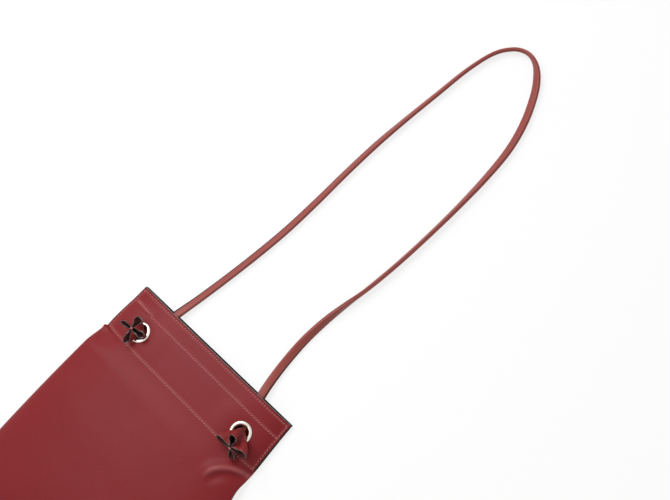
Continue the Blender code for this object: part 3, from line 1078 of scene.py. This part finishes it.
def makeEyelets():
    middle = (eyelet["radius"] + eyelet["hole"]) / 2
    half = (eyelet["radius"] - eyelet["hole"]) / 2
    barrel = eyelet["hole"] + eyelet["wall"]
    washerTop = -(bag["panel"] + bag["facing"] + 2 * bag["gap"])
    washerFoot = washerTop - eyelet["washer"]
    rollTop = washerFoot - bag["gap"]
    rollFoot = rollTop - eyelet["roll"]
    rollEdge = barrel + eyelet["rollReach"]
    arc = [math.pi * i / eyelet["arc"] for i in range(eyelet["arc"] + 1)]
    inset, under = eyelet["under"]
    wide, slant, small = eyelet["rollCorners"]
    profile = [
        (middle - half * math.cos(a), bag["gap"] + eyelet["dome"] * math.sin(a) ** 0.85) for a in arc
    ]
    profile += [
        (eyelet["radius"] - inset, under),
        (barrel, under),
        (barrel, rollTop),
        (rollEdge - wide, rollTop),
        (rollEdge, rollTop - slant),
        (rollEdge - small, rollFoot + small),
        (barrel + wide, rollFoot),
        (eyelet["hole"] + small, rollFoot + wide),
        (eyelet["hole"], rollTop),
    ]
    inside = barrel + bag["gap"]
    outside = eyelet["radius"] - eyelet["washerInset"]
    soft = eyelet["round"]
    washer = [
        (inside, washerTop),
        (outside - soft, washerTop),
        (outside, washerTop - soft),
        (outside, washerFoot + soft),
        (outside - soft, washerFoot),
        (inside, washerFoot),
    ]
    for side, name in ((-1, "left"), (1, "right")):
        turned(name + "Eyelet", profile, side, nickelPlate, [name + "_eyelet"])
        turned(name + "Washer", washer, side, nickelPlate, [name + "_eyelet_washer"])


makeEyelets()
print("eyelets made")


# the knots
knot = {
    "base": 6.2,  # radius where it stands in the eyelet
    "waist": 1.9,  # radius of the pinch
    "wall": 1.1,
    "edgeRound": 0.25,
    "closed": 1.3,  # above 1, the loops stay shut for longer from the pinch
    "tip": 0.95,  # below 1, the tips are rounder
    "opening": (-0.15, 1.1),  # where along the cone the loops begin and are full
    "valley": (0.05, 0.95, 7),  # between two loops the cone stays round for longer
    "creases": (0.9, 5, 2),  # unevenness across: its depth, size and change along the cone
    "ripples": (0.6, 6, 3),  # the same lengthways
    "loose": (0.1, 0.5),  # where along the cone it starts and is full
    "legs": 34,
    "points": 26,  # round each loop
}
# the thread across the pinch: each turn's place and slant
knotThread = {"length": 3.4, "radius": 0.36, "lift": 0.5, "turns": ((-0.8, 4), (0.0, -3), (0.8, 2))}
# the cone's foot, the point that pulls it over and the middle of its rim, then the way
# that the rim faces and its turn in degrees
knotLie = {
    "left": ((-81.7, 100.0, 14.2), (-82.6, 99.7, 20.5), (-86.8, 98.4, 26.0), (0.10, 0.04, 1.0), 9),
    "right": ((81.7, 98.8, 14.5), (82.7, 95.8, 23.5), (86.8, 83.8, 28.0), (0.05, -0.65, 0.76), 12),
}
# each loop's turn in degrees, the reach of its tip and half its width, in mm
knotLoops = {
    "left": ((-2, 18.0, 3.3), (87, 15.6, 4.3), (180, 15.8, 2.0), (282, 18.3, 2.8)),
    "right": ((5, 21.0, 3.2), (89, 17.3, 4.3), (170, 19.5, 2.2), (296, 14.6, 3.4)),
}


def loopOutline(side, t, s, turn):
    # a point of the outline: round at the base, four loops pinched between at the rim
    angle = math.radians(90 * turn + 45 * s)
    ring = Vector((math.cos(angle), math.sin(angle))) * knot["base"]
    degrees, reach, width = knotLoops[side][turn]
    aim = math.radians(degrees)
    along = Vector((math.cos(aim), math.sin(aim)))
    across = Vector((-along.y, along.x))
    corner = math.pi / 2 * turn - math.pi / 4
    before = Vector((math.cos(corner), math.sin(corner)))
    after = Vector((-before.y, before.x))
    waist = before.lerp(after, (1 + s) / 2) * knot["waist"]
    tip = math.cos(s * math.pi / 2) ** knot["tip"]
    bulge = math.copysign(abs(math.sin(s * math.pi)) ** knot["closed"], s)
    star = waist + along * (reach - knot["waist"]) * tip + across * width * bulge
    early, late, power = knot["valley"]
    valley = early * t + late * t**power
    share = valley + (ease(t, *knot["opening"]) - valley) * tip
    return ring.lerp(star, min(1.0, share / ease(1, *knot["opening"])) if t < 1 else 1.0)


def knotFrame(side, t):
    base, pull, star, facing, turn = knotLie[side]
    base, pull, star = (Vector(p) for p in (base, pull, star))
    centre = base * (1 - t) ** 2 + pull * 2 * t * (1 - t) + star * t * t
    ahead = (pull - base).normalized().lerp(Vector(facing).normalized(), ease(t, 0.2, 1)).normalized()
    right = (Vector((1, 0, 0)) - ahead * ahead.x).normalized()
    right = Quaternion(ahead, math.radians(turn)) @ right
    return centre, right, ahead.cross(right), ahead


def makeKnot(side):
    bm = bmesh.new()
    around = 4 * knot["points"]
    deep, size, change = knot["creases"]
    high, length, shift = knot["ripples"]
    bmesh.ops.create_grid(bm, x_segments=around, y_segments=knot["legs"], size=1)
    for vert in bm.verts:
        step = round((vert.co.x + 1) / 2 * around) % around
        t = (vert.co.y + 1) / 2
        turn, inTurn = divmod(step, knot["points"])
        centre, right, up, ahead = knotFrame(side, t)
        p = loopOutline(side, t, 2 * inTurn / knot["points"] - 1, turn)
        loose = ease(t, *knot["loose"])
        wave = high * noise.noise(Vector((p.x / length, p.y / length, t * shift))) * loose
        p.x += deep * noise.noise(Vector((p.x / size, p.y / size, 7 + t * change))) * loose
        p.y += deep * noise.noise(Vector((p.x / size, p.y / size, 17 + t * change))) * loose
        vert.co = (centre + right * p.x + up * p.y + ahead * wave) * mm
    bmesh.ops.remove_doubles(bm, verts=bm.verts, dist=mergeDistance)
    ends = openLoops(bm)
    base = Vector(knotLie[side][0]) * mm
    ends.sort(key=lambda loop: (loop[0].verts[0].co - base).length)
    # the rim row at the loops' ends takes the loop paint, with its painted highlight
    for edge in ends[1]:
        for face in edge.link_faces:
            face.material_index = 2
    bmesh.ops.contextual_create(bm, geom=ends[0])
    bmesh.ops.recalc_face_normals(bm, faces=bm.faces)
    skins = (knotLeather, rimPaint, loopPaintAndHighlight, hollowLeatherAndShade)
    piece = finishPiece(side + "Knot", bm, skins, [side + "_knot"], 70)
    wall = piece.modifiers.new("wall", "SOLIDIFY")
    wall.thickness = knot["wall"] * mm
    wall.offset = -1
    wall.use_even_offset = False
    # the inner skin takes the hollow leather, darkened with painted shade
    wall.material_offset = 3
    wall.material_offset_rim = -1
    soften = piece.modifiers.new("soften", "BEVEL")
    soften.width = knot["edgeRound"] * mm
    soften.segments = 2
    soften.angle_limit = math.radians(50)
    return piece


def makeKnotThread(side):
    # a few turns of thread across the pinch
    centre, right, up, ahead = knotFrame(side, 1)
    bm = bmesh.new()
    for offset, turn in knotThread["turns"]:
        along = Quaternion(ahead, math.radians(turn)) @ right
        spin = Matrix((along, ahead.cross(along), ahead)).transposed().to_4x4()
        place = (centre + up * offset + ahead * (knotThread["radius"] + knotThread["lift"])) * mm
        bmesh.ops.create_uvsphere(
            bm, u_segments=16, v_segments=10, radius=1,
            matrix=Matrix.Translation(place) @ spin @ threadSize(knotThread),
        )
    return finishPiece(side + "KnotThread", bm, (sewingThread,), [side + "_knot_stitch"])


knotPieces = []
for side in ("left", "right"):
    knotPieces += [makeKnot(side), makeKnotThread(side)]
print("knots made")


# the floor and the light
studio = {
    "floor": (0.93, 0.935, 0.935),
    "floorDim": 0.995,  # its faint darker clouds
    "floorSize": 4,
    "floorDrop": 0.0006,  # under the lowest stitches
    "seenWhite": 0.8,  # how far the floor shows as plain white
    "world": 0.5,
    "aim": (0.0, 0.15, 0.0),
    # each softbox: its watts, its width and its place
    "softboxes": {
        "key": (11.5, 0.8, (-0.65, 0.50, 1.10)),
        "fill": (3.2, 0.6, (-0.43, -0.22, 1.30)),
    },
}


def seenShare(nodes, amount):
    # amount where the camera, a mirror or a lens looks, 0 for the light that falls on the object
    seen = nodes.node("ShaderNodeLightPath", output="Is Camera Ray")
    glossy = nodes.node("ShaderNodeLightPath", output="Is Glossy Ray")
    through = nodes.node("ShaderNodeLightPath", output="Is Transmission Ray")
    return (seen + glossy + through) * amount


def makeStudio():
    bm = bmesh.new()
    drop = Matrix.Translation((0, 0, -studio["floorDrop"]))
    bmesh.ops.create_grid(bm, x_segments=1, y_segments=1, size=studio["floorSize"], matrix=drop)
    mesh = bpy.data.meshes.new("floor")
    bm.to_mesh(mesh)
    bm.free()
    floor = bpy.data.objects.new("floor", mesh)
    bpy.context.scene.collection.objects.link(floor)
    card = Finish("floorCard", Roughness=0.9, Specular_IOR_Level=0.1)
    tone = card.noise(1.5, 2)
    dim = [c * studio["floorDim"] for c in studio["floor"]]
    card.feed("Base Color", card.blend(tone, dim, studio["floor"]))
    white = card.node("ShaderNodeEmission", None, {"Color": (1, 1, 1, 1), "Strength": 1.0})
    lit = Wire(card, card.shader.outputs["BSDF"])
    seen = card.node("ShaderNodeMixShader", None, (seenShare(card, studio["seenWhite"]), lit, white))
    card.tree.links.new(seen.socket, card.tree.nodes["Material Output"].inputs["Surface"])
    mesh.materials.append(card.material)
    world = bpy.data.worlds.new("studio")
    world.use_nodes = True
    sky = Nodes(world.node_tree)
    backdrop = sky.tree.nodes["Background"]
    backdrop.inputs["Color"].default_value = (1, 1, 1, 1)
    strength = studio["world"] + seenShare(sky, 1 - studio["world"])
    sky.tree.links.new(strength.socket, backdrop.inputs["Strength"])
    bpy.context.scene.world = world
    for name, (watts, width, place) in studio["softboxes"].items():
        lamp = bpy.data.lights.new(name, "AREA")
        lamp.energy = watts
        lamp.size = width
        box = bpy.data.objects.new(name, lamp)
        box.location = place
        aim = Vector(studio["aim"]) - box.location
        box.rotation_mode = "QUATERNION"
        box.rotation_quaternion = aim.to_track_quat("-Z", "Y")
        bpy.context.scene.collection.objects.link(box)


makeStudio()
print("studio lit")
